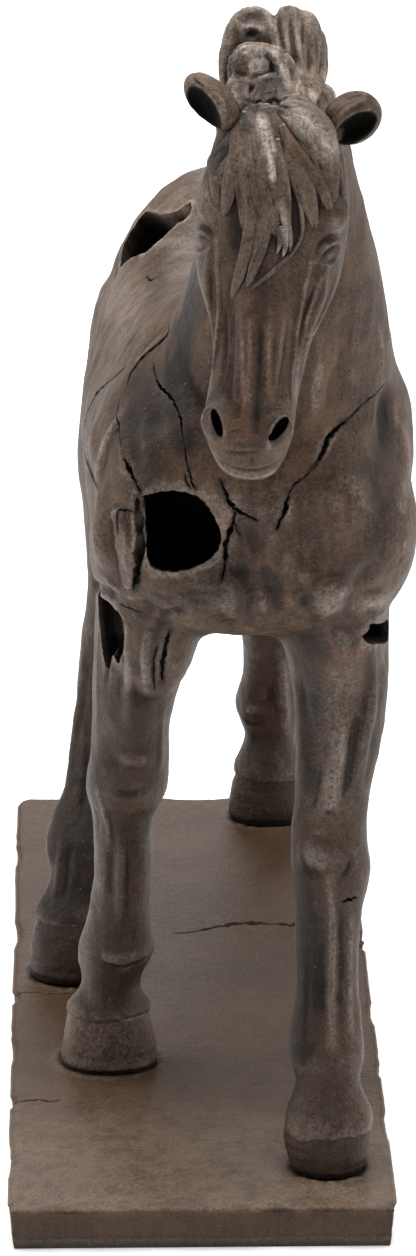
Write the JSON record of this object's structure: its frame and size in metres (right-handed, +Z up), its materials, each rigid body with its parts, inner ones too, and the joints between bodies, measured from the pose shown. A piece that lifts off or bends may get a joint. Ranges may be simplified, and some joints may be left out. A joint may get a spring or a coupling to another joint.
{
  "type": "horse statue",
  "caption": "Walking horse statue in dark cast resin, broken open at chest and back and cracked over the shoulders, on its own rectangular slab plinth.",
  "frame": {"origin": "middle of the plinth's flat underside", "axes": "+Z up, the horse looks along -Y, +X towards the horse's left"},
  "size_m": [0.1991, 0.5905, 0.5875],
  "materials": {
    "figure_resin": "dark brown satin patina, dry-brushed light on the raised edges",
    "plinth_resin": "earth brown matt patina with fine specks"
  },
  "bodies": {
    "root": {"horse": "figure_resin", "plinth": "plinth_resin"}
  },
  "joints": []
}
